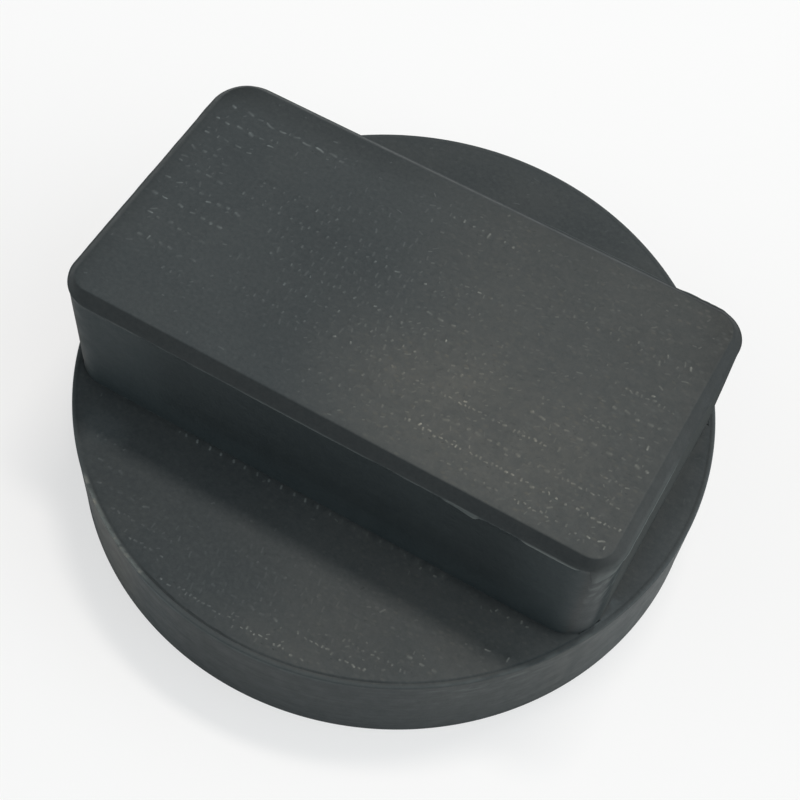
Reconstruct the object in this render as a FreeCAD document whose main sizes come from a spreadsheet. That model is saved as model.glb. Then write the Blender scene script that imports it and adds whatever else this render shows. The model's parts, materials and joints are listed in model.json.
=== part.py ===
import FreeCAD, Part

# Rubber jack pad: a round moulded pad with a rectangular lug standing on it.
# The round pad sits on a jack's saddle, and the lug goes up into the jacking socket.
# It is one moulding. The origin is the centre of the flat underside, +Z points up
# through the lug and +X runs along it. Sizes are in millimetres.

import os

import Sketcher

NODE = "jack_pad"
FOLDER = "parts"

# Driving dimensions
DIMENSIONS = {
    "pad_diameter": 66,
    "pad_thickness": 11.5,
    "pad_rim_chamfer": 0.4,
    "pad_foot_chamfer": 0.4,
    "lug_length": 59,
    "lug_width": 32,
    "lug_height": 15,
    "lug_corner_radius": 4,
    "lug_top_chamfer": 1.1,
}

# The ends of a sketch line or arc, and the middle of an arc
START, END, CENTRE = range(1, 4)

# The sketch's own origin point, as its constraints name it
ORIGIN = (-1, START)

# How close two heights are to be the same one
SAME_HEIGHT = 1e-6


def make_sheet(doc):
    """Gives each driving dimension a cell with the dimension's name."""
    sheet = doc.addObject("Spreadsheet::Sheet", "Sizes")
    for row, (name, value) in enumerate(DIMENSIONS.items(), start=1):
        sheet.set(f"A{row}", name)
        sheet.set(f"B{row}", str(value))
        sheet.setAlias(f"B{row}", name)
    doc.recompute()
    return sheet


def new_sketch(body, name, role):
    """Starts a sketch on the base plane of the body that has this role."""
    plane = next(item for item in body.Origin.OriginFeatures if item.Role == role)
    sketch = body.newObject("Sketcher::SketchObject", name)
    sketch.AttachmentSupport = [(plane, "")]
    sketch.MapMode = "FlatFace"
    return sketch


def constrain(sketch, kind, *where):
    """Adds a geometric constraint."""
    sketch.addConstraint(Sketcher.Constraint(kind, *where))


def dimension(sketch, name, formula, kind, *where):
    """Adds a dimension and ties it to the sheet. The last item of where is its value now."""
    index = sketch.addConstraint(Sketcher.Constraint(kind, *where))
    sketch.renameConstraint(index, name)
    sketch.setExpression(f"Constraints.{name}", formula)


def draw_pad_section(sketch, sheet):
    """Half the round pad's section, from its axis out to the rim."""
    radius = sheet.pad_diameter / 2
    thickness = sheet.pad_thickness
    foot = sheet.pad_foot_chamfer
    rim = sheet.pad_rim_chamfer
    corners = [
        FreeCAD.Vector(0, 0, 0),
        FreeCAD.Vector(radius - foot, 0, 0),
        FreeCAD.Vector(radius, foot, 0),
        FreeCAD.Vector(radius, thickness - rim, 0),
        FreeCAD.Vector(radius - rim, thickness, 0),
        FreeCAD.Vector(0, thickness, 0),
    ]
    underside, foot_edge, side, rim_edge, shoulder, axis = range(len(corners))
    for start, end in zip(corners, corners[1:] + corners[:1]):
        sketch.addGeometry(Part.LineSegment(start, end), False)

    for line in range(len(corners)):
        constrain(sketch, "Coincident", line, END, (line + 1) % len(corners), START)
    for line in (underside, shoulder):
        constrain(sketch, "Horizontal", line)
    for line in (side, axis):
        constrain(sketch, "Vertical", line)
    constrain(sketch, "Coincident", underside, START, *ORIGIN)

    dimension(sketch, "radius", "Sizes.pad_diameter / 2", "DistanceX", *ORIGIN, side, START, radius)
    dimension(sketch, "thickness", "Sizes.pad_thickness", "DistanceY", *ORIGIN, axis, START, thickness)
    for name, size, line, inner, outer in (
        ("foot", foot, foot_edge, START, END),
        ("rim", rim, rim_edge, END, START),
    ):
        formula = f"Sizes.pad_{name}_chamfer"
        dimension(sketch, f"{name}_across", formula, "DistanceX", line, inner, line, outer, size)
        dimension(sketch, f"{name}_up", formula, "DistanceY", line, START, line, END, size)


def draw_lug_outline(sketch, sheet):
    """The lug seen from above: a rectangle with round corners, centred on the origin."""
    length = sheet.lug_length
    width = sheet.lug_width
    radius = sheet.lug_corner_radius
    along = length / 2 - radius
    across = width / 2 - radius
    centres = [
        FreeCAD.Vector(along, -across, 0),
        FreeCAD.Vector(along, across, 0),
        FreeCAD.Vector(-along, across, 0),
        FreeCAD.Vector(-along, -across, 0),
    ]
    outward = [
        FreeCAD.Vector(0, -radius, 0),
        FreeCAD.Vector(radius, 0, 0),
        FreeCAD.Vector(0, radius, 0),
        FreeCAD.Vector(-radius, 0, 0),
    ]
    rounding = FreeCAD.Vector(1, 1, 0).normalize() * radius
    quarter_turn = FreeCAD.Rotation(FreeCAD.Vector(0, 0, 1), 90)
    middle = FreeCAD.Vector(rounding.x, -rounding.y, 0)
    count = len(centres)
    for side in range(count):
        before = centres[side - 1] + outward[side]
        begin = centres[side] + outward[side]
        finish = centres[side] + outward[(side + 1) % count]
        sketch.addGeometry(Part.LineSegment(before, begin), False)
        sketch.addGeometry(Part.Arc(begin, centres[side] + middle, finish), False)
        middle = quarter_turn.multVec(middle)

    # Each side's line is followed by the arc of the corner at its end
    near, right, far, left = (2 * side for side in range(count))
    arcs = [2 * side + 1 for side in range(count)]
    for item in range(2 * count):
        constrain(sketch, "Tangent", item, END, (item + 1) % (2 * count), START)
    for line in (near, far):
        constrain(sketch, "Horizontal", line)
    for line in (right, left):
        constrain(sketch, "Vertical", line)
    for arc in arcs[1:]:
        constrain(sketch, "Equal", arcs[0], arc)
    constrain(sketch, "Symmetric", arcs[0], CENTRE, arcs[2], CENTRE, *ORIGIN)

    dimension(sketch, "length", "Sizes.lug_length", "DistanceX", left, START, right, START, length)
    dimension(sketch, "width", "Sizes.lug_width", "DistanceY", near, START, far, START, width)
    dimension(sketch, "corner", "Sizes.lug_corner_radius", "Radius", arcs[0], radius)


def edges_at_height(shape, height):
    """Names the edges that lie flat at this height."""
    names = []
    for number, edge in enumerate(shape.Edges, start=1):
        box = edge.BoundBox
        if abs(box.ZMin - height) < SAME_HEIGHT and abs(box.ZMax - height) < SAME_HEIGHT:
            names.append(f"Edge{number}")
    return names


def make_jack_pad(doc, sheet):
    """The whole moulding: a turned pad, a lug raised on it and the lug's bevelled top."""
    body = doc.addObject("PartDesign::Body", "JackPad")
    body.Label = NODE
    body.Placement = FreeCAD.Placement()

    section = new_sketch(body, "PadSection", "XZ_Plane")
    draw_pad_section(section, sheet)
    pad = body.newObject("PartDesign::Revolution", "RoundPad")
    pad.Profile = section
    pad.ReferenceAxis = (section, ["V_Axis"])
    pad.Angle = 360

    outline = new_sketch(body, "LugOutline", "XY_Plane")
    outline.setExpression("AttachmentOffset.Base.z", "Sizes.pad_thickness")
    draw_lug_outline(outline, sheet)
    lug = body.newObject("PartDesign::Pad", "Lug")
    lug.Profile = outline
    lug.setExpression("Length", "Sizes.lug_height")
    doc.recompute()

    # The bevel turns round the lug's corners with the outline
    top = sheet.pad_thickness + sheet.lug_height
    bevel = body.newObject("PartDesign::Chamfer", "LugTopBevel")
    bevel.Base = (lug, edges_at_height(lug.Shape, top))
    bevel.setExpression("Size", "Sizes.lug_top_chamfer")
    doc.recompute()
    return body


def check(doc, body):
    """Stops the build if any object failed or the moulding isn't one sound solid."""
    for item in doc.Objects:
        if "Invalid" in item.State or "Error" in item.State:
            raise RuntimeError(f"{item.Name} failed: {item.State}")
        if item.isDerivedFrom("Sketcher::SketchObject") and not item.FullyConstrained:
            raise RuntimeError(f"{item.Name} isn't fully constrained")
    shape = body.Shape
    if shape.isNull() or not shape.isValid() or len(shape.Solids) != 1:
        raise RuntimeError(f"{body.Label} isn't one valid solid")


def main():
    doc = FreeCAD.newDocument("RubberJackPad")
    sheet = make_sheet(doc)
    body = make_jack_pad(doc, sheet)
    check(doc, body)

    os.makedirs(FOLDER, exist_ok=True)
    body.Shape.exportStep(f"{FOLDER}/{body.Label}.step")

    box = body.Shape.BoundBox
    print(f"{body.Label}: {box.XLength:.2f} x {box.YLength:.2f} x {box.ZLength:.2f} mm")
    print(f"volume {body.Shape.Volume / 1000:.2f} cm3, faces {len(body.Shape.Faces)}")


main()
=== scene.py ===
# Looks model of the rubber jack pad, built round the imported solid.
# Lengths are in metres in the solid's own frame: +Z up through the lug, +X along it,
# and the origin at the centre of the flat underside.

import json
import math
import random

import bpy
from mathutils import Matrix, Vector, noise
from mathutils.geometry import delaunay_2d_cdt


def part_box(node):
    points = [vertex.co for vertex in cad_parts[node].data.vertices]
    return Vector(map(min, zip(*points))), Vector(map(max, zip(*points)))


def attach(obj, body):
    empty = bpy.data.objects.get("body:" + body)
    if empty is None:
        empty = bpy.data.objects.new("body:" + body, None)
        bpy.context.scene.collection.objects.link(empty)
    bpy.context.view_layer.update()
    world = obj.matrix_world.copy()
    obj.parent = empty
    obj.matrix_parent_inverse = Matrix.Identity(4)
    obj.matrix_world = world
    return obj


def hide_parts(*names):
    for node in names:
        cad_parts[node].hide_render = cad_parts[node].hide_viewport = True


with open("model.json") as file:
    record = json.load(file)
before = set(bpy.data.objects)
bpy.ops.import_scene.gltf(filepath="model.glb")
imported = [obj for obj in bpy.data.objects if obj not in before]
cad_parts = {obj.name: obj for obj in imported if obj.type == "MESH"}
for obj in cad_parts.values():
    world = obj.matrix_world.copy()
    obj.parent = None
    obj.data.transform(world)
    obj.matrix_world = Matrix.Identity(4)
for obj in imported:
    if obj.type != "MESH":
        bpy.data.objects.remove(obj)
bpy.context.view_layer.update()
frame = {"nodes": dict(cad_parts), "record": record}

MM = 0.001
NODE = "jack_pad"
SEED = 7

# Camera: where the photo was taken from. Pixels are those of the photo's own square, angles
# are in degrees, and the azimuth is the turn from the front to the right.
PHOTO_SIDE_PX = 800
FOCAL_PX = 1618.7
CENTRE_X_PX = 396.9
CENTRE_Y_PX = 382.9
CAMERA_AZIMUTH = 24.42
CAMERA_ELEVATION = 58.62
CAMERA_ROLL = 6.28
CAMERA_DISTANCE = 166.28 * MM
CAMERA_CLIP_START = 0.005
SENSOR_MM = 36

# Moulding: sizes that the solid's mesh doesn't give
LUG_BEVEL = 1.1 * MM
FOOT_BEVEL = 0.25 * MM
EDGE_ROUND = 0.15 * MM
MARK_RISE = 0.05 * MM

# The lug's corners differ a little, as the mould left them. Both lists go anticlockwise
# from the corner at +X +Y: the outline's radii, then those of the flat top.
OUTLINE_CORNERS = (3.5 * MM, 4.2 * MM, 3.9 * MM, 3.8 * MM)
TOP_CORNERS = (2.3 * MM, 3.0 * MM, 1.9 * MM, 1.9 * MM)

# Mesh density
ROUND_STEPS = 720
LONG_STEPS = 204
SHORT_STEPS = 96
CORNER_STEPS = 20
PAD_WALL_STEPS = 40
LUG_WALL_STEPS = 24

# Plain points of a level face: their pitch, how far they keep from marks and from the
# face's edge, and how far they wave up and down
GRID_STEP = 1.0 * MM
GRID_GAP = 0.3 * GRID_STEP
GRID_MARGIN = 0.6 * MM
GRID_WAVE = 0.02 * MM

# Points of a level face that are closer than this, in mm, become one
SAME_POINT = 1e-5

# Edges that turn by more than this many degrees are shaded sharp
SHARP_ANGLE = 38


def measure_solid(name):
    """Reads the pad's radius, the shoulder's height and the lug's half sides off the solid."""
    low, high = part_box(name)
    shoulder = next(
        mount["pos_m"][2] for mount in frame["record"]["mounts"] if mount["name"] == "shoulder"
    )
    above = [
        vertex.co
        for vertex in frame["nodes"][name].data.vertices
        if vertex.co.z > shoulder + LUG_BEVEL
    ]
    return {
        "radius": min(high.x, high.y),
        "shoulder": shoulder,
        "top": high.z,
        "half_length": max(point.x for point in above),
        "half_width": max(point.y for point in above),
    }


SOLID = measure_solid(NODE)

# The lug's level top is lower than the solid's, so that its marks end at the solid's height
FIELD = SOLID["top"] - MARK_RISE


def wobble(x, y, z=0.0, size=1.0 * MM, seed=0.0):
    """Smooth noise from -1 to 1 whose lumps are about this size."""
    return noise.noise(Vector((x / size + seed, y / size - seed, z / size + 0.37 * seed)))


def smooth_step(value, low, high):
    """0 at low and beyond, 1 at high and beyond, and smooth between them."""
    share = min(1.0, max(0.0, (value - low) / (high - low)))
    return share * share * (3 - 2 * share)


def plateau(value, low, high, edge):
    """1 between low and high, falling smoothly to 0 over edge on either side."""
    return smooth_step(value, low - edge, low) * (1 - smooth_step(value, high, high + edge))


def patch(x, y, centre, radii):
    """1 in the middle of an oval and 0 outside it, in mm."""
    reach = math.hypot((x / MM - centre[0]) / radii[0], (y / MM - centre[1]) / radii[1])
    return 1 - smooth_step(reach, 0.25, 1.0)


def ramp(value, ends):
    """Rises from 0 at the first end to 1 at the second, in mm. It is 1 where there are no ends."""
    return smooth_step(value / MM, *ends) if ends else 1.0


def new_object(name, data):
    """Makes an object and puts it in the scene."""
    made = bpy.data.objects.new(name, data)
    bpy.context.scene.collection.objects.link(made)
    return made


class Skin:
    """Collects the points, faces and paint of one closed mesh."""

    LAYERS = ("mark", "flash", "tone", "bloom")

    def __init__(self):
        self.points = []
        self.mark = []
        self.flash = []
        self.tone = []
        self.bloom = []
        self.faces = []

    def add(self, point, mark=0.0, flash=0.0, tone=1.0, bloom=0.0):
        """Adds a point and returns its number."""
        self.points.append(point)
        self.mark.append(mark)
        self.flash.append(flash)
        self.tone.append(tone)
        self.bloom.append(bloom)
        return len(self.points) - 1

    def band(self, lower, upper):
        """Joins two closed loops of as many points by a band of quads."""
        count = len(lower)
        for index in range(count):
            following = (index + 1) % count
            self.faces.append((lower[index], lower[following], upper[following], upper[index]))

    def make(self, name):
        """Makes the piece, with one layer of numbers for each kind of paint."""
        mesh = bpy.data.meshes.new(name)
        mesh.from_pydata(self.points, [], self.faces)
        for label in self.LAYERS:
            layer = mesh.attributes.new(label, "FLOAT", "POINT")
            layer.data.foreach_set("value", getattr(self, label))
        mesh.validate()
        mesh.shade_smooth()
        mesh.set_sharp_from_angle(angle=math.radians(SHARP_ANGLE))
        return new_object(name, mesh)


def round_loop():
    """Directions round the pad, anticlockwise: x and y of length 1, and the angle in degrees."""
    step = 2 * math.pi / ROUND_STEPS
    ways = [(math.cos(step * index), math.sin(step * index)) for index in range(ROUND_STEPS)]
    return [(x, y, math.degrees(math.atan2(y, x))) for x, y in ways]


CORNER_SIDES = ((1, 1), (-1, 1), (-1, -1), (1, -1))


def lug_loop(inset, corners):
    """Points round the lug's outline moved inwards, anticlockwise, each with its way out."""
    half_length = SOLID["half_length"] - inset
    half_width = SOLID["half_width"] - inset
    middles = [
        (side_x * (half_length - radius), side_y * (half_width - radius))
        for (side_x, side_y), radius in zip(CORNER_SIDES, corners)
    ]
    stops = []
    for index, ((x, y), radius) in enumerate(zip(middles, corners)):
        for step in range(CORNER_STEPS):
            angle = math.radians(90 * (index + step / CORNER_STEPS))
            out = (math.cos(angle), math.sin(angle))
            stops.append((x + radius * out[0], y + radius * out[1], *out))
        following = (index + 1) % len(corners)
        turn = math.radians(90 * (index + 1))
        out = (round(math.cos(turn)), round(math.sin(turn)))
        next_x, next_y = middles[following]
        begin = (x + radius * out[0], y + radius * out[1])
        finish = (next_x + corners[following] * out[0], next_y + corners[following] * out[1])
        count = SHORT_STEPS if out[0] else LONG_STEPS
        for step in range(count):
            share = step / count
            place = [start + (end - start) * share for start, end in zip(begin, finish)]
            stops.append((*place, *out))
    return stops


def inside_lug(x, y, inset, corners):
    """How far a point is inside the lug's outline moved inwards. Negative is outside."""
    corner = corners[(0 if x >= 0 else 1) if y >= 0 else (3 if x >= 0 else 2)]
    dx = abs(x) - (SOLID["half_length"] - inset - corner)
    dy = abs(y) - (SOLID["half_width"] - inset - corner)
    outside = math.hypot(max(dx, 0), max(dy, 0)) + min(max(dx, dy), 0)
    return corner - outside


def stroke(x, y, turn, length, bend=0.0):
    """Points along a slightly bent stroke."""
    cos, sin = math.cos(turn), math.sin(turn)
    path = []
    for share in (-0.5, -0.3, 0.0, 0.3, 0.5):
        u = share * length
        v = bend * length * (1 - 4 * share * share)
        path.append((x + u * cos - v * sin, y + u * sin + v * cos))
    return path


def make_mark(path, width, rise, tones):
    """One small raised stroke, with a tone for each inner point. A pit's tone is below 0."""
    left = []
    right = []
    for before, here, after in zip(path, path[1:], path[2:]):
        length = math.dist(before, after)
        across_x = -(after[1] - before[1]) / length * width / 2
        across_y = (after[0] - before[0]) / length * width / 2
        left.append((here[0] + across_x, here[1] + across_y))
        right.append((here[0] - across_x, here[1] - across_y))
    return {
        "outline": [path[0], *right, path[-1], *reversed(left)],
        "ridge": [(x, y, tone) for (x, y), tone in zip(path[1:-1], tones)],
        "rise": rise,
    }


def fill_field(skin, height, outer, inner, marks, inside, paint):
    """Fills the level face between the outer and the inner loop, with marks raised on it."""
    flat = []
    known = []
    edges = []

    def put(x, y, number=None, rise=0.0, mark=0.0):
        flat.append(Vector((x / MM, y / MM)))
        known.append((number, rise, mark))
        return len(flat) - 1

    for loop in (outer, inner):
        if loop:
            added = [put(*skin.points[number][:2], number) for number in loop]
            edges.extend(zip(added, added[1:] + added[:1]))
    crowd = {}
    for item in marks:
        ring = [put(x, y) for x, y in item["outline"]]
        edges.extend(zip(ring, ring[1:] + ring[:1]))
        ridge = [put(x, y, None, item["rise"], tone) for x, y, tone in item["ridge"]]
        edges.extend(zip(ridge, ridge[1:]))
        for x, y in item["outline"]:
            crowd.setdefault((round(x / GRID_STEP), round(y / GRID_STEP)), []).append((x, y))

    # Plain grid points between the marks, kept a little away from them
    reach = int(SOLID["radius"] / GRID_STEP) + 1
    for column in range(-reach, reach + 1):
        for row in range(-reach, reach + 1):
            x = column * GRID_STEP
            y = row * GRID_STEP
            others = crowd.get((column, row), ())
            near = any(math.dist((x, y), other) < GRID_GAP for other in others)
            if near or not inside(x, y, GRID_MARGIN):
                continue
            put(x, y, None, GRID_WAVE * wobble(x, y, size=6 * MM, seed=3), 0.0)

    points, _, faces, origins, _, _ = delaunay_2d_cdt(flat, edges, [], 0, SAME_POINT, True)
    numbers = []
    for point, origin in zip(points, origins):
        number, rise, mark = known[origin[0]] if origin else (None, 0.0, 0.0)
        x = point.x * MM
        y = point.y * MM
        if number is None:
            tone, bloom = paint(x, y)
            number = skin.add((x, y, height + rise), mark, 0.0, tone, bloom)
        numbers.append(number)
    for face in faces:
        x = sum(points[index].x for index in face) / len(face) * MM
        y = sum(points[index].y for index in face) / len(face) * MM
        if inside(x, y, 0.0):
            skin.faces.append(tuple(numbers[index] for index in face))


# Paint of the level faces: tones below and above 1 are painted shade and painted light. A ramp is
# its two ends along X and along Y, or None, and what it adds to the tone. A patch is its centre,
# its radii and what it adds. Lengths are in mm.
LUG_RAMPS = (
    ((2, -14), (10.5, 14.5), -0.16),
    ((-25.5, -28), None, -0.10),
    ((17, 21), None, -0.05),
    ((24, 29), None, -0.07),
    (None, (11, 14), -0.06),
    ((-4, 2), (4, 9), -0.05),
    ((27.4, 28.6), None, -0.10),
    ((27, 28.4), (-3, 1), -0.08),
    ((23, 27.5), (3, 12), -0.12),
)
LUG_PATCHES = (
    ((-29, 15), (7, 6), -0.14),
    ((-9, -2), (9, 14), -0.07),
    ((24, 8), (7, 7), -0.05),
    ((29, 15), (6, 5), -0.14),
)
PAD_RAMPS = (
    ((4, -22), (18, 10), -0.08),
    (None, (12, 20), -0.06),
)
# The patches paint the lug's cast shadow on the pad: deeper near the right, lighter at its left
# end, with painted shade at its far left
PAD_PATCHES = (
    ((21, -22), (7, 3.5), -0.16),
    ((-22.5, -20), (4, 2.5), 0.35),
    ((-25.5, -22), (2.5, 3), -0.3),
)

# The narrow strip of the pad's top beside the lug's right end has ramps of its own: painted light
# that lifts the shade at the lug's foot, and painted shade towards the back
STRIP_START = 29.4 * MM
STRIP_RAMPS = (
    ((31.2, 29.5), (3, -6), 0.6),
    (None, (-3, 6), -0.15),
)


def level_tone(x, y, ramps, patches):
    """Tone of a level face: 1, and what each ramp and each patch adds."""
    tone = 1.0
    for along, across, amount in ramps:
        tone += amount * ramp(x, along) * ramp(y, across)
    for centre, radii, amount in patches:
        tone += amount * patch(x, y, centre, radii)
    return tone


def lug_paint(x, y):
    """Tone and bloom of the lug's top: painted shade to the left and at the far edge, and painted
    sheen with chalky dust to the right.
    """
    cloud = 0.8 + 0.4 * wobble(x, y, size=4 * MM, seed=41)
    # Painted sheen over the right half of the top; the patch near the front right is chalky dust
    bloom = 0.30 * ramp(x, (-8, 8))
    bloom += 0.27 * patch(x, y, (11, -8), (22, 10)) * cloud
    bloom += 0.07 * wobble(x, y, size=7 * MM, seed=42)
    return level_tone(x, y, LUG_RAMPS, LUG_PATCHES), max(0.0, bloom)


def pad_paint(x, y):
    """Tone and bloom of the pad's top: painted shade to the left, the lug's cast shadow painted
    deeper or lighter in places, and painted sheen with chalky bloom near the front right.
    """
    ramps = PAD_RAMPS + STRIP_RAMPS if x > STRIP_START else PAD_RAMPS
    # Painted sheen with chalky bloom near the front right, along the front edge and faintly at the
    # back
    bloom = 0.24 * ramp(x, (-8, 12)) * ramp(y, (-10, -20))
    bloom += 0.04 * ramp(y, (10, 18)) + 0.1 * patch(x, y, (4, -30.5), (7, 2.5))
    bloom += 0.10 * wobble(x, y, size=6 * MM, seed=43)
    return level_tone(x, y, ramps, PAD_PATCHES), max(0.0, bloom)


def plain_paint(x, y):
    """Tone and bloom of the underside, which are the same all over."""
    return 1.0, 0.0


# Tool marks: rows of small strokes along X, left in the mould by the cutter.
# Each row is its y, where it starts and ends in x, its kind of stroke and its strength.
LUG_ROWS = (
    (11.1, -27.0, -13.5, "long", 0.8),
    (11.1, -1.0, 6.5, "tick", 0.7),
    (9.0, -27.5, -20.0, "dash", 0.8),
    (9.0, 6.0, 15.0, "tick", 0.3),
    (6.9, -27.5, -21.6, "dash", 0.6),
    (6.9, 12.0, 27.0, "tick", 0.35),
    (4.5, -27.7, -22.7, "dash", 0.5),
    (4.5, -19.0, -10.6, "tick", 0.6),
    (4.5, 1.0, 10.0, "tick", 0.4),
    (2.3, -27.7, -21.4, "dash", 0.6),
    (2.3, -20.0, -1.8, "tick", 0.6),
    (2.3, 0.3, 6.5, "tick", 0.5),
    (2.3, 22.0, 27.0, "chain", 0.4),
    (0.0, -27.7, -18.5, "dash", 0.6),
    (0.0, -14.0, -2.0, "tick", 0.4),
    (0.0, 1.0, 6.5, "dash", 0.5),
    (0.0, 20.7, 26.5, "dash", 0.5),
    (-2.3, -27.7, -19.0, "dash", 0.5),
    (-2.3, -14.0, 10.7, "tick", 0.5),
    (-2.3, 20.0, 27.0, "chain", 0.45),
    (-4.6, -27.0, -20.0, "dash", 0.4),
    (-4.6, -11.0, 4.4, "tick", 0.55),
    (-4.6, 7.0, 10.7, "tick", 0.5),
    (-4.6, 15.7, 27.5, "dash", 0.6),
    (-7.1, -26.0, -19.0, "dash", 0.35),
    (-7.1, -14.0, 4.4, "tick", 0.55),
    (-7.1, 5.0, 18.5, "chain", 0.75),
    (-7.1, 24.0, 27.0, "chain", 0.7),
    (-9.2, -21.8, -16.4, "tick", 0.4),
    (-9.2, -4.0, 5.0, "tick", 0.4),
    (-9.2, 9.0, 20.0, "dash", 0.4),
    (-9.2, 20.0, 27.0, "chain", 0.55),
    (-11.25, -4.0, 6.5, "tick", 0.45),
    (-11.25, 6.5, 28.0, "chain", 1.0),
    (-13.3, 11.0, 17.0, "chain", 0.45),
    (-13.3, 18.5, 27.5, "chain", 0.7),
)

# Single strong strokes: x, y, turn in degrees, length and strength
LUG_FLECKS = (
    (7.7, -11.0, 60, 0.5, 1.3),
    (10.1, -6.7, 20, 0.45, 1.2),
    (-2.2, -2.0, 30, 0.4, 1.0),
    (5.4, -1.9, 100, 0.4, 1.4),
    (5.5, 4.6, 10, 0.5, 1.1),
    (0.2, 11.3, 100, 0.55, 0.8),
    (3.1, 11.0, 88, 0.9, 0.7),
    (-2.4, 2.6, 20, 0.7, 0.7),
    (-2.1, -6.8, 115, 0.45, 0.8),
    (-3.7, -7.0, 40, 0.45, 0.8),
    (0.6, 2.7, 30, 0.4, 0.9),
    (-26.1, -1.8, -4, 0.85, 0.9),
    (-26.3, -4.1, 4, 0.8, 0.8),
    (-24.7, -6.7, 88, 0.7, 0.7),
    (-20.8, 9.0, 5, 0.9, 0.9),
    (-22.2, -0.1, 15, 0.7, 0.8),
    (26.5, 7.5, 112, 0.7, 0.9),
    (28.0, 7.3, 100, 0.5, 0.7),
    (24.0, 7.6, 110, 0.6, 0.6),
    (21.0, 7.6, 100, 0.4, 0.5),
    (24.7, 2.9, 20, 0.5, 0.9),
    (26.6, -2.3, 95, 0.7, 0.9),
    (27.1, -13.0, 28, 0.9, 0.9),
)

PAD_ROWS = (
    (-25.3, 15.5, 21.5, "dash", 0.6),
    (-26.9, -16.7, -9.5, "chain", 0.3),
    (-26.9, 9.6, 17.4, "chain", 0.6),
    (-28.7, -14.5, -9.5, "chain", 0.5),
    (-28.7, -4.0, 3.0, "dash", 0.35),
    (-28.7, 5.5, 14.0, "chain", 0.7),
    (-30.7, -9.6, 0.0, "chain", 0.75),
    (-30.7, 0.0, 7.5, "chain", 1.1),
    (-21.0, -22.5, -19.0, "tick", 0.3),
    (-23.2, -22.0, -18.0, "dash", 0.3),
    (-25.2, -19.5, -14.0, "dash", 0.3),
    (-24.6, -4.0, 6.0, "tick", 0.25),
)

PAD_FLECKS = (
    (21.8, -20.9, 10, 0.8, 0.8),
    (23.9, -20.8, 90, 0.7, 0.8),
    (24.2, -20.6, 20, 0.5, 0.7),
    (28.2, -15.3, 20, 0.9, 1.0),
    (20.6, -16.9, 70, 0.5, 0.7),
    (20.2, -17.3, 150, 0.4, 0.5),
    (21.9, -17.0, 60, 0.4, 0.6),
    (23.2, -16.8, 100, 0.5, 0.7),
    (23.9, -16.9, 30, 0.4, 0.6),
    (12.3, -16.9, 80, 0.4, 0.6),
    (13.9, -16.9, 10, 0.5, 0.7),
)


# Faint scratches that are tried on each level face. Some find no room.
LUG_SCRATCHES = 3400
PAD_SCRATCHES = 3000

# Dots along the lug's foot: their columns, pitch and start in mm, distance from the wall
# and width
DOT_COLUMNS = range(-11, 11)
DOT_PITCH = 1.4
DOT_START = 0.5
DOT_GAP = 0.42 * MM
DOT_WIDTH = 0.32 * MM


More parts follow.
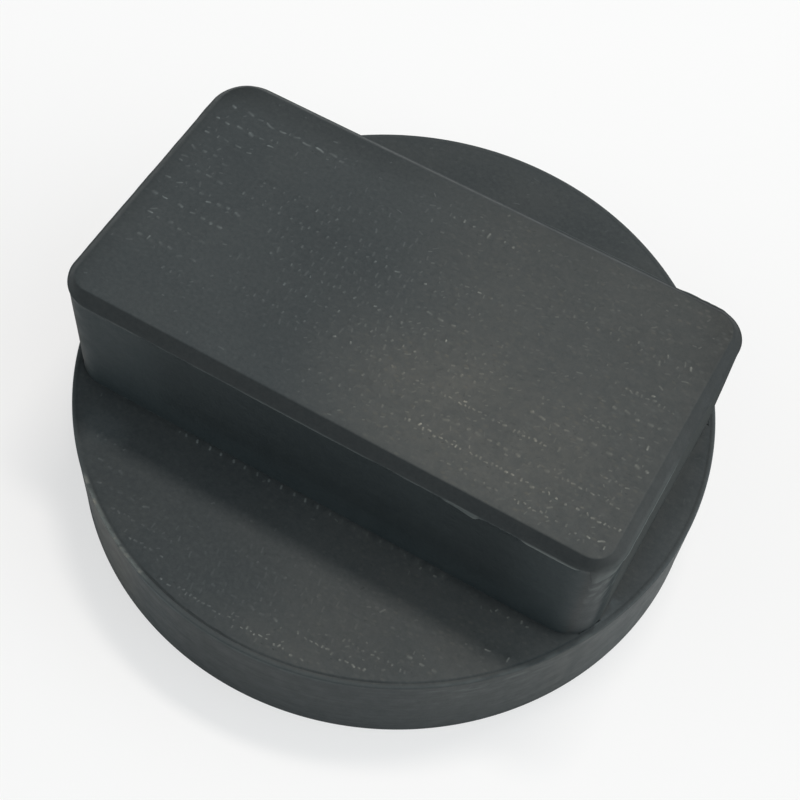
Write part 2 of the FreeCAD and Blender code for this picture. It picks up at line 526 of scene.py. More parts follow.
class Marks:
    """Collects the strokes of one level face and keeps them apart."""

    GAP = 0.04 * MM
    EDGE_GAP = 0.2 * MM
    TIP = 0.02 * MM
    FAINT_RISE = 0.01 * MM
    PIT_WIDTH = 0.18 * MM
    PIT_DEPTH = 0.04 * MM

    # The brightest tone, and how much of its tone a stroke loses from point to point
    BRIGHTEST = 1.3
    FADE = 0.25

    # Room on either side of a stroke that stands up in its row, in mm
    UPRIGHT_ROOM = 0.16

    # The cutter's pitch along X and Y, and how many columns and rows there are each way
    WEAVE_PITCH = (0.9 * MM, 1.15 * MM)
    WEAVE_REACH = 30

    def __init__(self, inside):
        self.items = []
        self.cells = {}
        self.inside = inside

    def crowded(self, x, y, half):
        """Says whether a point this broad is too near to a stroke that is already there."""
        column = round(x / GRID_STEP)
        row = round(y / GRID_STEP)
        for side in range(-1, 2):
            for up in range(-1, 2):
                for other_x, other_y, other_half in self.cells.get((column + side, row + up), ()):
                    room = half + other_half + self.GAP
                    if math.dist((x, y), (other_x, other_y)) < room:
                        return True
        return False

    def add(self, path, width, rise, tones):
        """Adds a stroke unless it would touch another one or the face's edge."""
        halves = [self.TIP, *[width / 2] * (len(path) - 2), self.TIP]
        for (x, y), half in zip(path, halves):
            if not self.inside(x, y, self.EDGE_GAP) or self.crowded(x, y, half):
                return
        for (x, y), half in zip(path, halves):
            cell = (round(x / GRID_STEP), round(y / GRID_STEP))
            self.cells.setdefault(cell, []).append((x, y, half))
        self.items.append(make_mark(path, width, rise, tones))

    def fleck(self, x, y, turn, length, strength, width=0.28 * MM):
        """A short stroke that is brighter at one end."""
        path = stroke(x, y, turn, length, random.uniform(-0.14, 0.14))
        if random.random() < 0.5:
            path.reverse()
        tones = [min(self.BRIGHTEST, strength) * (1 - self.FADE * index) for index in range(3)]
        rise = MARK_RISE * min(1.0, 0.5 + strength / 2)
        self.add(path, width * random.uniform(0.85, 1.15), rise, tones)

    def pit(self, x, y, turn, length, depth):
        """A small dark pit."""
        path = stroke(x, y, turn, length)
        self.add(path, self.PIT_WIDTH, -self.PIT_DEPTH * depth, [-depth] * 3)

    def faint(self, x, y, turn, length, width, tone):
        """A scratch or speck that hardly stands out."""
        path = stroke(x, y, turn, length, random.uniform(-0.1, 0.1))
        self.add(path, width, self.FAINT_RISE, [tone] * 3)

    # Each kind of row: length of a stroke, gap after it, its turn, its width and how often
    # a stroke stands up instead. Every tick stands up. Lengths are in mm.
    KINDS = {
        "long": ((0.7, 1.4), (0.09, 0.3), -0.02, 0.34, 0.05),
        "dash": ((0.5, 0.95), (0.3, 0.8), -0.03, 0.42, 0.15),
        "chain": ((0.26, 0.6), (0.09, 0.17), -0.08, 0.30, 0.35),
        "tick": ((0.28, 0.55), (0.6, 1.1), 1.75, 0.33, 0.0),
    }

    def row(self, y, start, end, kind, strength, bow):
        """One row of strokes of this kind, unevenly spaced and uneven in strength."""
        (low, high), (least, most), turn, width, upright = self.KINDS[kind]
        x = start * MM
        while x < end * MM:
            uneven = 0.85 + 0.6 * wobble(x, y * MM, size=2.0 * MM, seed=17)
            here = strength * uneven * random.uniform(0.5, 1.2)
            length = random.uniform(low, high) * MM
            at_y = y * MM + bow(x) + random.gauss(0, 0.08) * MM
            broad = width * random.uniform(0.7, 1.2)
            if kind == "tick" or random.random() < upright:
                length = min(length, 0.5 * MM)
                x += self.UPRIGHT_ROOM * MM
                way = random.gauss(1.5, 0.35)
                self.fleck(x, at_y + 0.06 * MM, way, length, here, broad * MM)
                x += (self.UPRIGHT_ROOM + random.uniform(least, most)) * MM
                continue
            way = random.gauss(turn, 0.25)
            self.fleck(x + length / 2, at_y, way, length, here, broad * MM)
            x += length + random.uniform(least, most) * MM

    def crumbs(self, y, start, end, strength, bow):
        """Faint strokes and pits on both sides of a row."""
        count = round(1.1 * (end - start))
        for _ in range(count):
            x = random.uniform(start, end) * MM
            beside = random.choice((-1, 1)) * random.uniform(0.3, 0.6) * MM
            at_y = y * MM + bow(x) + beside
            if random.random() < 0.6:
                tone = random.uniform(0.15, 0.45) * strength
                way = random.gauss(1.2, 0.7)
                length = random.uniform(0.25, 0.5) * MM
                self.faint(x, at_y, way, length, 0.22 * MM, tone)
            else:
                self.pit(x, at_y, random.gauss(0, 0.4), 0.3 * MM, 0.5 * strength)

    def rows(self, table, bow):
        """All rows of a table, and then what lies beside each of them."""
        for y, start, end, kind, strength in table:
            self.row(y, start, end, kind, strength, bow)
        for y, start, end, _, strength in table:
            self.crumbs(y, start, end, strength, bow)

    def flecks(self, table):
        """All single strokes of a table."""
        for x, y, turn, length, strength in table:
            self.fleck(x * MM, y * MM, math.radians(turn), length * MM, strength)

    def weave(self, centre, radii, tone):
        """Faint upright strokes at the cutter's pitch, over an oval part."""
        steps = range(-self.WEAVE_REACH, self.WEAVE_REACH + 1)
        for column in steps:
            for row in steps:
                x = column * self.WEAVE_PITCH[0] + random.gauss(0, 0.16) * MM
                y = row * self.WEAVE_PITCH[1] + random.gauss(0, 0.2) * MM
                if random.random() > 0.8 * patch(x, y, centre, radii):
                    continue
                level = tone * random.uniform(0.2, 1.0) ** 1.5
                length = random.uniform(0.4, 1.0) * MM
                way = random.gauss(1.75, 0.15)
                self.faint(x, y, way, length, random.uniform(0.26, 0.36) * MM, level)

    def scatter(self, count, reach, chance, turn, tone):
        """Faint scratches and specks all over, where the chance says so."""
        for _ in range(count):
            x = random.uniform(-1, 1) * reach[0]
            y = random.uniform(-1, 1) * reach[1]
            if random.random() > chance(x, y):
                continue
            way = random.gauss(turn, 0.35) if random.random() < 0.7 else random.gauss(1.7, 0.4)
            level = tone * random.uniform(0.25, 1.0) ** 1.6 * random.choice((1, 1, 1, -1))
            length = random.uniform(0.25, 0.6) * random.choice((1.0, 1.0, 1.6)) * MM
            self.faint(x, y, way, length, random.uniform(0.18, 0.3) * MM, level)


def lug_marks(inside):
    """Marks on the lug's top: single strokes, rows of strokes and faint scratches."""
    random.seed(SEED)
    marks = Marks(inside)

    def bow(x):
        return 0.55 * MM * (min(x, 0.0) / SOLID["half_length"]) ** 2

    def chance(x, y):
        return 0.1 + 0.2 * ramp(x, (-12, 2)) + 0.6 * patch(x, y, (10, -8), (22, 11))

    marks.flecks(LUG_FLECKS)
    marks.rows(LUG_ROWS, bow)
    marks.weave((-7, -1), (12, 14), 0.26)
    reach = (SOLID["half_length"], SOLID["half_width"])
    marks.scatter(LUG_SCRATCHES, reach, chance, 0.45, 0.3)
    return marks.items


def pad_marks(inside):
    """Marks on the pad's top: rows of strokes near the front, and dots along the lug's foot."""
    random.seed(SEED + 1)
    marks = Marks(inside)

    def straight(x):
        return 0.0

    def chance(x, y):
        return 0.15 + 0.5 * patch(x, y, (6, -27), (24, 8))

    marks.flecks(PAD_FLECKS)
    y = -SOLID["half_width"] - DOT_GAP
    for column in DOT_COLUMNS:
        x = (column * DOT_PITCH + DOT_START + random.uniform(-0.1, 0.1)) * MM
        strength = (0.6 * plateau(x / MM, -15, 0, 3) + 0.12) * random.uniform(0.6, 1.25)
        path = stroke(x, y, random.gauss(1.9, 0.12), random.uniform(0.45, 0.62) * MM)
        marks.items.append(make_mark(path, DOT_WIDTH, MARK_RISE, [strength] * 3))
    marks.rows(PAD_ROWS, straight)
    marks.weave((-1, -26), (14, 8), 0.17)
    reach = (SOLID["radius"], SOLID["radius"])
    marks.scatter(PAD_SCRATCHES, reach, chance, 0.45, 0.32)
    return marks.items


# Tone of the lug's wall, darker than the pad's top
WALL_TONE = 0.74


def side_tone(angle):
    """Tone of the pad's wall by the angle round it: a little darker at the front, which is painted
    shade.
    """
    return 1.12 - 0.23 * plateau(angle, -95, -30, 10)


def build_pad(skin):
    """The round pad from the middle of its underside to the shoulder's edge."""
    radius = SOLID["radius"] - 0.02 * MM
    shoulder = SOLID["shoulder"]
    way = round_loop()

    def loop(reach, height, flash=0.0, bloom=0.0):
        """One loop, whose values are numbers or depend on the angle."""
        numbers = []
        for x, y, angle in way:
            values = (reach, height, flash, bloom)
            r, z, shine, lightening = (
                value(angle, x, y) if callable(value) else value for value in values
            )
            numbers.append(skin.add((r * x, r * y, z), 0.0, shine, side_tone(angle), lightening))
        return numbers

    def rim_wobble(x, y, size, seed):
        return wobble(x * SOLID["radius"], y * SOLID["radius"], size=size, seed=seed)

    def worn(angle, x, y):
        """Chalky wear of the wall: under the ragged rim at the front left, and at the right."""
        cloud = 0.75 + 0.5 * rim_wobble(x, y, 3 * MM, 27)
        return cloud * (0.62 * plateau(angle, -124, -115, 8) + 0.16 * plateau(angle, -45, 0, 18))

    def burr(angle):
        """How much ragged flash stands on the rim here, from 0 to 1."""
        return plateau(angle, -128, -109, 3)

    def ragged(x, y, seed, size=0.7 * MM):
        """Noise from 0 to 1 along the rim."""
        return 0.5 + 0.5 * rim_wobble(x, y, size, seed)

    def line(angle, x, y):
        """How deep the fine groove inside the rim is here and how much shade is painted in it, from
        0 to 1.
        """
        cut = 0.3 * plateau(angle, -127, -50, 6) + 0.3 * plateau(angle, -107, -64, 3)
        cut += 0.25 * plateau(angle, -107, -92, 4)
        return cut * (0.5 + 0.5 * ragged(x, y, 24, 2 * MM))

    def lip_height(angle, x, y):
        return shoulder + MM * (0.01 * ragged(x, y, 21) + 0.2 * burr(angle) * ragged(x, y, 22))

    def lip_reach(angle, x, y):
        return radius - MM * (0.16 - 0.1 * burr(angle) * ragged(x, y, 23))

    def groove_depth(angle, x, y):
        return shoulder - MM * (0.02 + 0.10 * line(angle, x, y))

    def lip_flash(angle, x, y):
        """How much the lip is scraped light at the front right or torn where the burr is."""
        scraped = plateau(angle, -54, -22, 6) * smooth_step(ragged(x, y, 29, 1.6 * MM), 0.4, 0.7)
        torn = burr(angle) * (0.3 + 1.0 * smooth_step(ragged(x, y, 25), 0.35, 0.65))
        return 0.05 + torn + 0.18 * plateau(angle, -108, -50, 3) + 0.4 * scraped

    foot = [
        (radius - FOOT_BEVEL, 0.0),
        (radius - 0.6 * FOOT_BEVEL, 0.08 * FOOT_BEVEL),
        (radius - 0.25 * FOOT_BEVEL, 0.4 * FOOT_BEVEL),
        (radius - 0.03 * FOOT_BEVEL, FOOT_BEVEL),
    ]
    loops = [loop(*stop) for stop in foot]

    # The wall, with fine streaks round it
    low = FOOT_BEVEL
    high = shoulder - 0.55 * MM
    for row in range(1, PAD_WALL_STEPS + 1):
        z = low + (high - low) * row / PAD_WALL_STEPS

        def streak(angle, x, y, z=z):
            fine = 0.5 * wobble(x * 9 * MM, y * 9 * MM, z, size=0.45 * MM, seed=2)
            broad = wobble(x * 20 * MM, y * 20 * MM, z, size=9 * MM, seed=4)
            return radius - 0.015 * MM * (1 + fine) - 0.02 * MM * (1 + broad)

        def scuff(angle, x, y, z=z):
            """Light streaks along the wall below the rim, at the front right."""
            fine = wobble(x * 6 * MM, y * 6 * MM, z, size=0.4 * MM, seed=28)
            up = smooth_step(z, shoulder - 5.5 * MM, shoulder - 1.0 * MM)
            return 0.45 * smooth_step(fine, 0.12, 0.5) * plateau(angle, -54, -18, 8) * up

        loops.append(loop(streak, z, scuff, worn))

    # The rim: a fine lip, and inside it a groove whose two loops are its dark line of painted shade
    loops.append(loop(radius - 0.01 * MM, shoulder - 0.3 * MM, 0.0, worn))
    loops.append(loop(radius - 0.02 * MM, shoulder - 0.14 * MM, 0.0, worn))
    burred = len(skin.points)
    for reach, height, strength in (
        (radius - 0.07 * MM, shoulder - 0.04 * MM, 0.8),
        (lip_reach, lip_height, 1.0),
        (radius - 0.46 * MM, shoulder, 0.15),
    ):
        loops.append(loop(reach, height, lambda *here, part=strength: part * lip_flash(*here)))
    dark = [loop(radius - 0.54 * MM, groove_depth), loop(radius - 0.66 * MM, groove_depth)]
    loops.extend(dark)
    loops.append(loop(radius - 0.76 * MM, shoulder - 0.005 * MM))
    for lower, upper in zip(loops, loops[1:]):
        skin.band(lower, upper)

    # The burr's torn parts are paler and warmer than the rest of the lip
    for number in range(burred, burred + 2 * len(way)):
        x, y, angle = way[(number - burred) % len(way)]
        torn = burr(angle) * smooth_step(ragged(x, y, 26), 0.42, 0.7)
        skin.mark[number] = 0.8 * torn
        skin.bloom[number] = 0.6 * torn
    for number in loops[-4] + loops[-1]:
        x, y, _ = skin.points[number]
        skin.tone[number], skin.bloom[number] = pad_paint(x, y)
    # Painted shade in the groove, darker where its line is deeper
    for numbers in dark:
        for number, (x, y, angle) in zip(numbers, way):
            tone, _ = pad_paint(*skin.points[number][:2])
            skin.tone[number] = tone * (1 - 0.5 * line(angle, x, y))
    return loops[0], loops[-1]


def bevel_shade(out_x, out_y, x, y):
    """The bevel's tone by the way it faces, and by how far along the side it is: painted shade and
    light, darker at the near and right sides and at the far right.
    """
    left = max(0.0, -out_x) ** 2
    right = max(0.0, out_x) ** 2
    far = max(0.0, out_y) ** 2
    near = max(0.0, -out_y) ** 2
    tone = 0.95 * left + (0.55 - 0.02 * ramp(y, (-6, 2))) * right + 0.9 * far + 0.52 * near
    return tone - 0.45 * ramp(x, (16, 26)) * max(0.0, out_y)


def build_lug(skin):
    """The lug from its foot to the edge of its flat top."""
    outline = lug_loop(0.0, OUTLINE_CORNERS)
    edge = lug_loop(LUG_BEVEL, TOP_CORNERS)
    shoulder = SOLID["shoulder"]

    def corner_angle(number):
        """How far round the corner at +X -Y this stop is, in degrees from the right side."""
        _, _, out_x, out_y = outline[number]
        if out_x <= 0 or out_y >= 0:
            return 0.0
        return math.degrees(math.atan2(-out_y, out_x))

    def dip(number):
        """The right side's lip runs down the wall as it turns the near right corner."""
        angle = corner_angle(number)
        fall = 1.25 * smooth_step(angle, 14, 25) + 1.1 * smooth_step(angle, 22, 56)
        return fall * MM * (1 - smooth_step(angle, 55, 62))

    def lift(number):
        """The front bevel's lower edge stands a little higher to the right."""
        x, _, _, out_y = outline[number]
        return 0.12 * MM * ramp(x, (0, 12)) * max(0.0, -out_y)

    def uneven(x, y, z):
        return 0.02 * MM * (wobble(x, y, z, size=5 * MM, seed=8) - 0.6)

    # Flash: a thin ragged fin at the bevel's lower edge, with one sliver torn down at the front.
    # Its light colour is a painted highlight, for the light the fin catches
    def flap(x, y):
        """How far down the sliver hangs here, from 0 to 1."""
        if y > -0.9 * SOLID["half_width"]:
            return 0.0
        u = x / MM
        return min(1.0, max(0.0, (u - 12.2) / 4.1)) * (1 - smooth_step(u, 16.3, 16.7))

    def present(number):
        """How much fin there is here, from 0 to 1, side by side."""
        x, y, out_x, out_y = outline[number]
        u = x / MM
        torn = smooth_step(wobble(x, y, size=3.5 * MM, seed=32), -0.35, 0.15)
        if out_y < -0.9:
            line = 0.4 * torn * plateau(u, -24, 12, 2) + plateau(u, 21.5, 26, 1)
            return max(line + 0.55 * plateau(u, 13.5, 16.5, 1), flap(x, y))
        if out_y > 0.9:
            line = 0.3 * plateau(u, -9, 26, 1) + 0.8 * plateau(u, 8, 18.5, 3)
            return line + 0.7 * plateau(u, 22.5, 26, 1)
        if out_x > 0.9:
            return 1.0 - 0.95 * ramp(y, (-4, 0))
        if out_x > 0 and out_y < 0:
            return 0.9 * (1 - smooth_step(corner_angle(number), 50, 58))
        return 0.35 * torn if out_x < 0 else 0.0

    loops = []

    def loop(reach, height, flash):
        """One loop on the wall, whose reach, height and flash depend on the stop."""
        numbers = []
        for stop, (x, y, out_x, out_y) in enumerate(outline):
            r = reach(stop, x, y)
            point = (x + r * out_x, y + r * out_y, height(stop, x, y))
            numbers.append(skin.add(point, 0.0, flash(stop, x, y), WALL_TONE))
        loops.append(numbers)

    # The wall
    for row in range(LUG_WALL_STEPS + 1):
        share = row / LUG_WALL_STEPS

        def height(stop, x, y, share=share):
            high = FIELD - LUG_BEVEL - 0.10 * MM + lift(stop) - dip(stop) - 0.6 * MM * flap(x, y)
            return shoulder + (high - shoulder) * share

        def reach(stop, x, y, share=share):
            return uneven(x, y, height(stop, x, y)) if share else 0.0

        def scrape(stop, x, y):
            """Light scuffs under the lip at the near right corner."""
            angle = corner_angle(stop)
            z = height(stop, x, y)
            fine = wobble(x + y, 0.25 * (x - y), 2.2 * z, size=0.8 * MM, seed=36)
            corner = plateau(angle, 14, 50, 10) * smooth_step(z, 16 * MM, 21 * MM)
            return 0.6 * corner * smooth_step(fine, 0.0, 0.45)

        loop(reach, height, scrape)
        # Painted shade on the middle of the front wall, a little deeper to the right, and painted
        # light on the right end wall and round the near right corner
        for stop, (number, (x, _, out_x, out_y)) in enumerate(zip(loops[-1], outline)):
            z = (skin.points[number][2] - shoulder) / MM
            dark = 0.3 * plateau(z, 5.0, 13.0, 4.0) * plateau(x / MM, -14, 18, 8)
            dark += 0.08 * ramp(x, (10, 18))
            turned = plateau(corner_angle(stop), 12, 50, 10)
            right = (1 - turned) * max(0.0, out_x) ** 2
            skin.tone[number] *= 1 - dark * max(0.0, -out_y) + 0.22 * right + 0.25 * turned
            skin.bloom[number] = 0.2 * right

    def fin(stop, x, y):
        ragged = 0.5 + 0.5 * wobble(x, y, size=0.6 * MM, seed=31)
        flat = 1 - 0.4 * max(0.0, outline[stop][2])
        return MM * (0.02 + present(stop) * (0.10 + 0.09 * ragged) * flat)

    def droop(stop, x, y):
        fall = 0.7 + 0.3 * wobble(x, y, size=1.5 * MM, seed=33)
        return FIELD - LUG_BEVEL + lift(stop) - dip(stop) - MM * (0.04 + 0.6 * flap(x, y) * fall)

    def fin_top(stop, x, y):
        return droop(stop, x, y) + 0.05 * MM

    # Painted highlight of the fin, as strong as the fin is present
    def shine(stop, x, y):
        return 0.9 * present(stop)

    loop(fin, droop, shine)
    loop(lambda stop, x, y: 0.9 * fin(stop, x, y), fin_top, shine)

    # Between a lip that has run down and the bevel's edge the wall goes on
    for share in (0.35, 0.8):

        def reach(stop, x, y, share=share):
            return (1 - share) * fin(stop, x, y)

        def height(stop, x, y, share=share):
            low = fin_top(stop, x, y)
            return low + (FIELD - LUG_BEVEL * 0.96 + lift(stop) - low) * share

        def fade(stop, x, y, share=share):
            """Painted highlight of the fin, which fades upwards, and a light edge above the sliver.
            """
            edge_light = 1.3 * max(0.0, share - 0.35) * smooth_step(flap(x, y), 0.1, 0.4)
            far = 1 - 0.7 * max(0.0, outline[stop][3])
            return max(edge_light, (1 - share) * shine(stop, x, y) * far)

        loop(reach, height, fade)

    # The bevel, flat from the outline in to the top's edge
    def ring(share, inset, height):
        """One loop this share of the way in over the bevel, and then moved in by the inset."""
        numbers = []
        for stop, ((x, y, out_x, out_y), (in_x, in_y, _, _)) in enumerate(zip(outline, edge)):
            at_x = x + (in_x - x) * share - inset * out_x
            at_y = y + (in_y - y) * share - inset * out_y
            z = height + lift(stop) * (1 - share)
            # Painted light on the right bevel, stronger to the front, and a painted highlight along
            # its lower edge
            lightening = (0.15 - 0.09 * ramp(at_y, (-4, 8))) * max(0.0, out_x) ** 2
            tone = bevel_shade(out_x, out_y, at_x, at_y)
            edge_light = 0.3 * shine(stop, x, y) * max(0.0, out_x) if share < 0.1 else 0.0
            numbers.append(skin.add((at_x, at_y, z), 0.0, edge_light, tone, lightening))
        loops.append(numbers)

    for share in (0.05, 0.3, 0.6, 0.92):
        ring(share, 0.0, FIELD - LUG_BEVEL * (1 - share))
    ring(1.0, 0.06 * MM, FIELD - 0.025 * MM)
    ring(1.0, EDGE_ROUND, FIELD)
    for number in loops[-1] + loops[-2]:
        x, y, _ = skin.points[number]
        skin.tone[number], skin.bloom[number] = lug_paint(x, y)
    for lower, upper in zip(loops, loops[1:]):
        skin.band(lower, upper)
    return loops[0], loops[-1]


def build_skin():
    """The whole moulding as one closed mesh."""
    skin = Skin()
    underside, rim = build_pad(skin)
    foot, edge = build_lug(skin)

    def on_pad(x, y, margin):
        if math.hypot(x, y) > SOLID["radius"] - 0.84 * MM - margin:
            return False
        return inside_lug(x, y, 0.0, OUTLINE_CORNERS) < -margin

    def on_lug(x, y, margin):
        corners = [corner - EDGE_ROUND for corner in TOP_CORNERS]
        return inside_lug(x, y, LUG_BEVEL + EDGE_ROUND, corners) > margin

    def under_pad(x, y, margin):
        return math.hypot(x, y) < SOLID["radius"] - FOOT_BEVEL - margin

    fill_field(skin, SOLID["shoulder"], rim, foot, pad_marks(on_pad), on_pad, pad_paint)
    fill_field(skin, FIELD, edge, None, lug_marks(on_lug), on_lug, lug_paint)
    first = len(skin.faces)
    fill_field(skin, 0.0, underside, None, [], under_pad, plain_paint)
    skin.faces[first:] = [tuple(reversed(face)) for face in skin.faces[first:]]
    for number, (x, y, z) in enumerate(skin.points):
        skin.points[number] = (x, y, max(z, 0.0))
    return skin.make("rubber_pad")


class Shader:
    """Adds nodes to one material or world, each with its inputs given as values or outputs."""

    def __init__(self, owner):
        owner.use_nodes = True
        self.tree = owner.node_tree
        self.tree.nodes.clear()

    def add(self, kind, inputs=None, **settings):
        made = self.tree.nodes.new(kind)
        for name, value in settings.items():
            setattr(made, name, value)
        for name, value in (inputs or {}).items():
            if isinstance(value, bpy.types.NodeSocket):
                self.tree.links.new(value, made.inputs[name])
            else:
                made.inputs[name].default_value = value
        return made

    def maths(self, operation, *values, clamp=False):
        inputs = dict(enumerate(values))
        return self.add("ShaderNodeMath", inputs, operation=operation, use_clamp=clamp).outputs[0]

    def times(self, first, second, clamp=False):
        return self.maths("MULTIPLY", first, second, clamp=clamp)

    def spread(self, value, low, high, start=0.0, end=1.0):
        """Maps value from low..high to start..end, smoothly and clamped."""
        inputs = {"Value": value, "From Min": low, "From Max": high, "To Min": start, "To Max": end}
        return self.add("ShaderNodeMapRange", inputs, interpolation_type="SMOOTHSTEP").outputs[0]

    def cloud(self, where, size, detail=2.0, rough=0.5):
        inputs = {"Vector": where, "Scale": 1 / size, "Detail": detail, "Roughness": rough}
        return self.add("ShaderNodeTexNoise", inputs).outputs["Fac"]

    def layer(self, name):
        return self.add("ShaderNodeAttribute", attribute_name=name).outputs["Fac"]

    def mix(self, share, first, second, blend_type="MIX"):
        inputs = {0: share}
        for socket, value in ((6, first), (7, second)):
            inputs[socket] = value if isinstance(value, bpy.types.NodeSocket) else (*value, 1)
        made = self.add("ShaderNodeMix", inputs, data_type="RGBA", blend_type=blend_type)
        return made.outputs[2]

    def grey(self, value):
        return self.add("ShaderNodeCombineColor", {0: value, 1: value, 2: value}).outputs[0]


RUBBER_DARK = (0.042, 0.0475, 0.049)
RUBBER_LIGHT = (0.057, 0.062, 0.062)
# Pale colour of the bloom layer: chalky bloom, and painted sheen and painted light
BLOOM_AND_SHEEN = (0.108, 0.103, 0.092)
COOL_SHADE = (0.92, 1.05, 1.09)
PIT = (0.018, 0.020, 0.021)
SPECK_DARK = (0.033, 0.036, 0.037)
SPECK_COOL = (0.088, 0.097, 0.094)
SPECK_WARM = (0.125, 0.105, 0.075)
MARK_COOL = (0.19, 0.205, 0.20)
MARK_WARM = (0.28, 0.26, 0.215)
FLASH_AND_HIGHLIGHT_TONE = (0.115, 0.125, 0.12)

# The rubber's noise from broad clouds to fine grain: its size, roughness and part of the tone
RUBBER_NOISES = (
    (9 * MM, 0.5, 0.25),
    (1.6 * MM, 0.5, 0.2),
    (0.42 * MM, 0.75, 0.55),
)
STREAK_SIZE = 0.5 * MM
SPECK_SIZE = 0.5 * MM
BLOOM_CLOUD_SIZE = 1.1 * MM
BUMP_DISTANCE = 0.06 * MM
GLOSS = 0.2


def rubber_material():
    """Matte moulded rubber: cloudy dark grey, fine grain, streaked walls and a chalky bloom that
    also carries painted sheen and painted light.
    """
    material = bpy.data.materials.new("rubber")
    shader = Shader(material)
    where = shader.add("ShaderNodeTexCoord").outputs["Object"]
    normal = shader.add("ShaderNodeNewGeometry").outputs["Normal"]
    facing = shader.add("ShaderNodeSeparateXYZ", {0: normal}).outputs
    up = facing["Z"]
    wall = shader.maths("SUBTRACT", 1.0, shader.maths("ABSOLUTE", up), clamp=True)
    height = shader.add("ShaderNodeSeparateXYZ", {0: where}).outputs["Z"]
    low = shader.spread(height, SOLID["shoulder"], SOLID["shoulder"] + MM, 1.0, 0.3)
    wall = shader.times(wall, low)

    tone = 0.0
    noises = []
    for size, rough, part in RUBBER_NOISES:
        noises.append(shader.cloud(where, size, 3.0, rough))
        tone = shader.maths("MULTIPLY_ADD", noises[-1], part, tone)
    _, mottle, grain = noises
    long_way = shader.add(
        "ShaderNodeVectorMath", {0: where, 1: (0.02, 0.02, 1.0)}, operation="MULTIPLY"
    ).outputs[0]
    streaks = shader.cloud(long_way, STREAK_SIZE, 3.0)
    streaked = shader.times(shader.spread(streaks, 0.35, 0.7, -0.07, 0.11), wall)
    tone = shader.maths("ADD", tone, streaked)
    share = shader.spread(tone, 0.34, 0.66)
    colour = shader.mix(share, RUBBER_DARK, RUBBER_LIGHT)
    colour = shader.mix(1.0, colour, shader.grey(shader.layer("tone")), "MULTIPLY")

    # Painted shade colour: the lug's front wall, which lies in shade, is tinted a little cooler
    # than the rest
    raised = shader.spread(height, SOLID["shoulder"] - MM, SOLID["shoulder"])
    shaded_front = shader.times(shader.spread(facing["Y"], -0.97, -0.85, 1.0, 0.0), raised)
    colour = shader.mix(1.0, colour, shader.mix(shaded_front, (1.0, 1.0, 1.0), COOL_SHADE), "MULTIPLY")

    # Fine light and dark specks on the level faces, most of them where the bloom layer of chalk and
    # painted sheen is strong
    bloom = shader.layer("bloom")
    level = shader.spread(up, 0.9, 0.98)
    amount = shader.maths("MULTIPLY_ADD", bloom, 1.6, 0.35, clamp=True)
    amount = shader.times(amount, level)
    lying = shader.add(
        "ShaderNodeMapping", {"Vector": where, "Rotation": (0, 0, -0.5), "Scale": (0.55, 1, 1)}
    ).outputs[0]
    cells = shader.add(
        "ShaderNodeTexVoronoi", {"Vector": lying, "Scale": 1 / SPECK_SIZE}, voronoi_dimensions="2D"
    ).outputs
    dot = shader.spread(cells["Distance"], 0.1, 0.42, 1.0, 0.0)
    dot = shader.times(dot, amount)
    pick = shader.add("ShaderNodeSeparateColor", {0: cells["Color"]}).outputs
    light = shader.times(dot, shader.spread(pick[0], 0.45, 1.0, 0.0, 0.45))
    dark = shader.times(dot, shader.spread(pick[1], 0.5, 1.0, 0.0, 0.45))
    warmth = shader.times(pick[2], shader.times(bloom, 2.0, clamp=True))
    colour = shader.mix(dark, colour, SPECK_DARK)
    colour = shader.mix(light, colour, shader.mix(warmth, SPECK_COOL, SPECK_WARM))

    # Chalky bloom and painted sheen, thicker where its layer says so, in clouds and fine grains
    bloom_clouds = shader.spread(shader.cloud(where, BLOOM_CLOUD_SIZE, 4.0, 0.8), 0.35, 0.65, 0.78, 1.22)
    colour = shader.mix(shader.times(bloom, bloom_clouds), colour, BLOOM_AND_SHEEN)
    mark = shader.layer("mark")
    mark_colour = shader.mix(shader.times(bloom, 2.0, clamp=True), MARK_COOL, MARK_WARM)
    colour = shader.mix(shader.maths("MAXIMUM", mark, 0.0), colour, mark_colour)
    colour = shader.mix(shader.times(mark, -1.0, clamp=True), colour, PIT)
    # Pale scuffs and torn flash, with painted highlight along the lug's fin and bevel edge
    colour = shader.mix(shader.layer("flash"), colour, FLASH_AND_HIGHLIGHT_TONE)

    rough = shader.spread(mottle, 0.3, 0.7, 0.58, 0.7)
    relief = shader.maths("MULTIPLY_ADD", grain, 0.8, shader.times(mottle, 0.6))
    bump = shader.add(
        "ShaderNodeBump", {"Strength": 0.3, "Distance": BUMP_DISTANCE, "Height": relief}
    ).outputs[0]

    # The wall at the lug's right end is duller than the rest: it has no gloss
    end_wall = shader.times(shader.spread(facing["X"], 0.8, 0.95), raised)
    gloss = shader.spread(end_wall, 0.0, 1.0, GLOSS, 0.0)
    surface = shader.add(
        "ShaderNodeBsdfPrincipled",
        {"Base Color": colour, "Roughness": rough, "Normal": bump, "Specular IOR Level": gloss},
    )
    shader.add("ShaderNodeOutputMaterial", {"Surface": surface.outputs[0]})
    return material


# How far the floor turns to plain white where the camera sees it
FLOOR_WHITE = 0.6
FLOOR_REACH = 1.5
FLOOR_TINTS = ((0.95, 0.91, 0.885), (0.96, 0.92, 0.895))


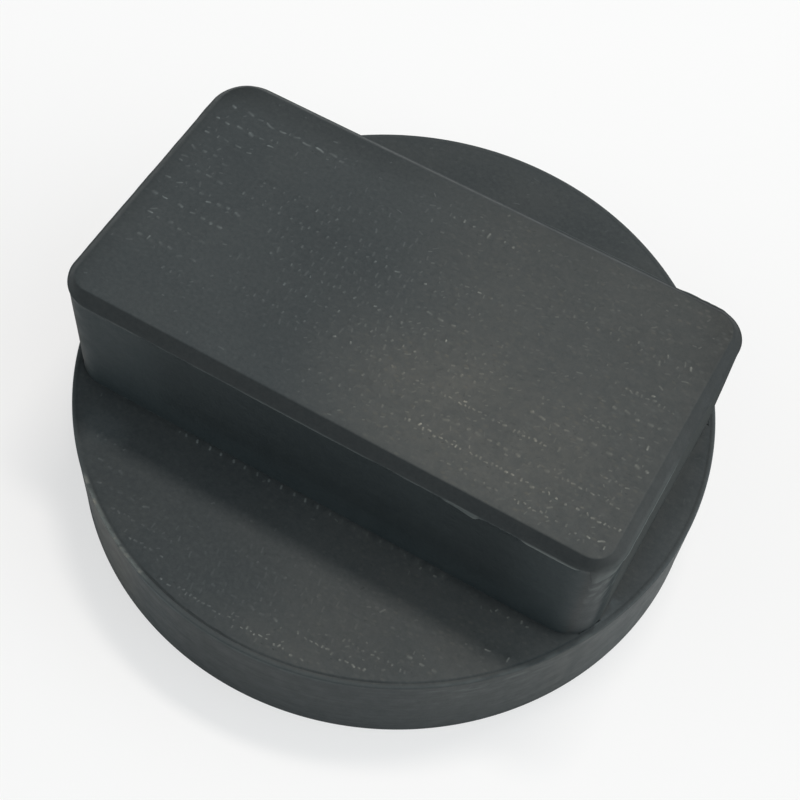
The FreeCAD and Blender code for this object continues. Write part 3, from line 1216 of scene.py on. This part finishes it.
def floor_material():
    """A plain pale floor, with the faintest unevenness of tone."""
    material = bpy.data.materials.new("floor")
    shader = Shader(material)
    where = shader.add("ShaderNodeTexCoord").outputs["Object"]
    share = shader.cloud(where, 80 * MM, 2.0)
    colour = shader.mix(share, *FLOOR_TINTS)
    surface = shader.add("ShaderNodeBsdfDiffuse", {"Color": colour})
    white = shader.add("ShaderNodeEmission", {"Color": (1, 1, 1, 1), "Strength": 1.0})
    seen = shader.add("ShaderNodeLightPath").outputs["Is Camera Ray"]
    part = shader.times(seen, FLOOR_WHITE)
    both = shader.add("ShaderNodeMixShader", {0: part, 1: surface.outputs[0], 2: white.outputs[0]})
    shader.add("ShaderNodeOutputMaterial", {"Surface": both.outputs[0]})
    return material


def make_floor():
    mesh = bpy.data.meshes.new("floor")
    corners = [(x * FLOOR_REACH, y * FLOOR_REACH, 0) for x, y in CORNER_SIDES]
    mesh.from_pydata(corners, [], [(0, 1, 2, 3)])
    mesh.materials.append(floor_material())
    floor = new_object("floor", mesh)


# Key light: a soft box above, whose long side lies along X
KEY_DIRECTION = (0.05, 0.352, 1.0)
KEY_DISTANCE = 0.86
KEY_LENGTH = 0.32
KEY_WIDTH = 0.10
KEY_POWER = 2.85
KEY_COLOUR = (1.0, 0.975, 0.94)


def make_key():
    data = bpy.data.lights.new("key", "AREA")
    data.shape = "RECTANGLE"
    data.size = KEY_LENGTH
    data.size_y = KEY_WIDTH
    data.energy = KEY_POWER
    data.color = KEY_COLOUR
    lamp = new_object("key", data)
    way = Vector(KEY_DIRECTION).normalized()
    across = Vector((1, 0, 0)) - way * way.x
    across.normalize()
    turned = Matrix((across, way.cross(across), way)).transposed()
    lamp.matrix_world = turned.to_4x4()
    lamp.location = Vector((0, 0, SOLID["shoulder"])) + way * KEY_DISTANCE


def direction(bearing, height):
    """Towards this bearing from +X and this height over the floor, both in degrees."""
    turn = math.radians(bearing)
    rise = math.radians(height)
    return (math.cos(turn) * math.cos(rise), math.sin(turn) * math.cos(rise), math.sin(rise))


# The room's light: the same from everywhere, with soft brighter parts low down at the
# sides. Each part is its bearing from +X, its height in degrees and its strength.
SKY_COLOUR = (0.93, 1.03, 1.08)
SKY_LEVEL = 0.12
SKY_PARTS = (
    (0, 15, 1.75),
    (0, 48, 0.68),
    (45, 15, 1.39),
    (180, 15, 0.41),
    (225, 15, 1.27),
)
SKY_SOFTNESS = 6.0


def make_room_light():
    world = bpy.data.worlds.new("studio")
    bpy.context.scene.world = world
    shader = Shader(world)
    way = shader.add("ShaderNodeTexCoord").outputs["Generated"]
    level = SKY_LEVEL
    for bearing, height, strength in SKY_PARTS:
        aim = direction(bearing, height)
        facing = shader.add(
            "ShaderNodeVectorMath", {0: way, 1: aim}, operation="DOT_PRODUCT"
        ).outputs["Value"]
        part = shader.maths("POWER", shader.maths("MAXIMUM", facing, 0.0), SKY_SOFTNESS)
        level = shader.maths("MULTIPLY_ADD", part, strength, level)
    lit = shader.add("ShaderNodeBackground", {"Color": (*SKY_COLOUR, 1), "Strength": level})
    white = shader.add("ShaderNodeBackground", {"Color": (1, 1, 1, 1), "Strength": 1.0})
    seen = shader.add("ShaderNodeLightPath").outputs["Is Camera Ray"]
    both = shader.add("ShaderNodeMixShader", {0: seen, 1: lit.outputs[0], 2: white.outputs[0]})
    shader.add("ShaderNodeOutputWorld", {"Surface": both.outputs[0]})


def make_camera():
    """Stands the camera where the photo was taken from."""
    back = Vector(direction(CAMERA_AZIMUTH - 90, CAMERA_ELEVATION))
    right = (-back).cross(Vector((0, 0, 1))).normalized()
    up = right.cross(-back)
    level = Matrix((right, up, back)).transposed()
    data = bpy.data.cameras.new("camera")
    data.sensor_width = SENSOR_MM
    data.lens = FOCAL_PX / PHOTO_SIDE_PX * SENSOR_MM
    data.shift_x = (PHOTO_SIDE_PX / 2 - CENTRE_X_PX) / PHOTO_SIDE_PX
    data.shift_y = (CENTRE_Y_PX - PHOTO_SIDE_PX / 2) / PHOTO_SIDE_PX
    data.clip_start = CAMERA_CLIP_START
    camera = new_object("camera", data)
    turned = level @ Matrix.Rotation(math.radians(CAMERA_ROLL), 3, "Z")
    camera.matrix_world = turned.to_4x4()
    camera.location = Vector((0, 0, SOLID["shoulder"])) + back * CAMERA_DISTANCE
    bpy.context.scene.camera = camera


pad = build_skin()
pad.data.materials.append(rubber_material())
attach(pad, "root")
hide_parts(NODE)

make_floor()
make_key()
make_room_light()
make_camera()
bpy.context.scene.view_settings.view_transform = "Standard"
